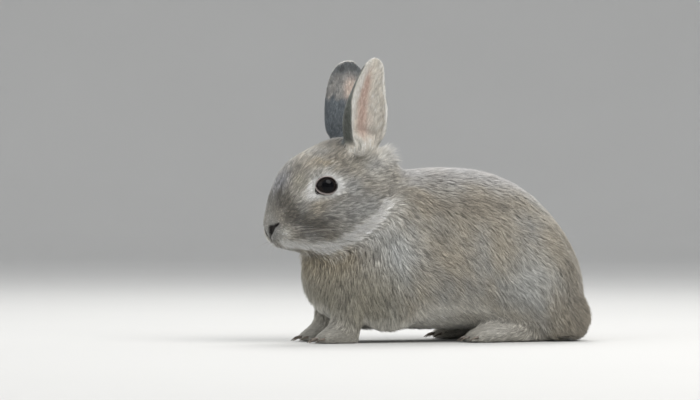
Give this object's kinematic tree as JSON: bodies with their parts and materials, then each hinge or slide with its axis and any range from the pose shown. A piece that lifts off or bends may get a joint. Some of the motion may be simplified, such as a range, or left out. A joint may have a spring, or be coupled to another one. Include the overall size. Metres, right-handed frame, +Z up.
{
  "type": "rabbit",
  "caption": "Life-size young dwarf-type rabbit, crouching on the floor with its head up and turned a little to its left and its ears upright.",
  "frame": {"origin": "on the floor under the middle of the whole rabbit", "axes": "+Z up; the body faces -X, and its left side is towards -Y"},
  "size_m": [0.2362, 0.1068, 0.1977],
  "materials": {
    "fur": "short dense grey-beige agouti fur",
    "fur_pale": "pale fur of the chin and the underside of the tail",
    "ear": "thin skin with fine short hair",
    "nose": "soft bare skin, slightly moist",
    "eye": "wet and glossy, very dark brown",
    "claw": "smooth horn"
  },
  "bodies": {
    "root": {"claw_fore_left_1": "claw", "claw_fore_left_2": "claw", "claw_fore_left_3": "claw", "claw_fore_left_4": "claw", "claw_fore_right_1": "claw", "claw_fore_right_2": "claw", "claw_fore_right_3": "claw", "claw_fore_right_4": "claw", "claw_hind_left_1": "claw", "claw_hind_left_2": "claw", "claw_hind_left_3": "claw", "claw_hind_left_4": "claw", "claw_hind_right_1": "claw", "claw_hind_right_2": "claw", "claw_hind_right_3": "claw", "claw_hind_right_4": "claw", "ear_left": "ear", "ear_right": "ear", "eye_left": "eye", "eye_right": "eye", "foreleg_left": "fur", "foreleg_right": "fur", "forepaw_left": "fur", "forepaw_right": "fur", "head": "fur", "hind_foot_left": "fur", "hind_foot_right": "fur", "lower_jaw": "fur_pale", "neck": "fur", "nose": "nose", "tail": "fur_pale", "thigh_left": "fur", "thigh_right": "fur", "trunk": "fur"}
  },
  "joints": []
}
